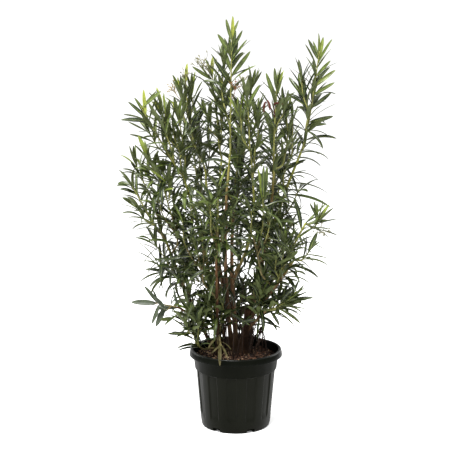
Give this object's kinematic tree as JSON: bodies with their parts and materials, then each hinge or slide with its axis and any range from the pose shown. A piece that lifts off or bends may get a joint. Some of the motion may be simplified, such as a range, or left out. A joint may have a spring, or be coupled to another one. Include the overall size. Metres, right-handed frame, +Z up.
{
  "type": "potted oleander shrub",
  "caption": "Upright, many-stemmed evergreen oleander in a black plastic nursery pot, with narrow leathery leaves on bare brown canes; patio or garden plant",
  "frame": {"origin": "centre of the pot's flat underside, on the surface that it stands on", "axes": "+Z up through the pot's axis, the best side of the shrub faces -Y, +X to the right when looking along +Y at that side"},
  "size_m": [0.814, 0.6704, 1.609],
  "materials": {
    "pot": "satin black moulded plastic with a slightly glossier rim",
    "soil": "rough reddish-brown bark mulch over moist potting soil",
    "bark": "rough reddish-brown bark low down, smoother olive green above",
    "foliage": "narrow leathery leaves, satin, dark green with lighter yellow-green shoot tips"
  },
  "bodies": {
    "root": {"pot": "pot", "soil": "soil", "trunk": "bark", "cane_tall_right": "bark", "cane_right": "bark", "cane_centre_tall": "bark", "cane_centre_back": "bark", "cane_centre_front": "bark", "cane_left": "bark", "cane_left_back": "bark", "bough_left_back": "bark", "cane_far_left": "bark", "bough_far_left_low": "bark", "cane_right_front": "bark", "bough_right_out": "bark", "bough_low_right": "bark", "cane_back_right": "bark", "cane_back_left": "bark", "cane_front_left": "bark", "foliage_top": "foliage", "foliage_tall_right": "foliage", "foliage_tall_right_side": "foliage", "foliage_right_inner_top": "foliage", "foliage_right_inner_spire": "foliage", "foliage_back_top": "foliage", "foliage_centre_top": "foliage", "foliage_left_spire": "foliage", "foliage_left_back_spire": "foliage", "foliage_left_top": "foliage", "foliage_left_second": "foliage", "foliage_left_third": "foliage", "foliage_far_left_tip": "foliage", "foliage_far_left_upper": "foliage", "foliage_far_left_inner": "foliage", "foliage_right_shoulder": "foliage", "foliage_right_spire": "foliage", "foliage_right_out": "foliage", "foliage_right_front": "foliage", "foliage_right_fan": "foliage", "foliage_low_right": "foliage", "foliage_low_left": "foliage", "foliage_low_left_hanging": "foliage", "foliage_left_flank": "foliage", "foliage_left_skirt": "foliage", "foliage_left_low": "foliage", "foliage_right_low": "foliage", "foliage_front_rim": "foliage", "foliage_front_left": "foliage", "foliage_front_right": "foliage", "foliage_left_inner": "foliage", "foliage_right_inner": "foliage", "foliage_back_right": "foliage", "foliage_back_left": "foliage", "foliage_back_middle": "foliage", "foliage_back_right_low": "foliage", "foliage_back_left_low": "foliage", "foliage_back_skirt": "foliage", "foliage_core": "foliage"}
  },
  "joints": []
}
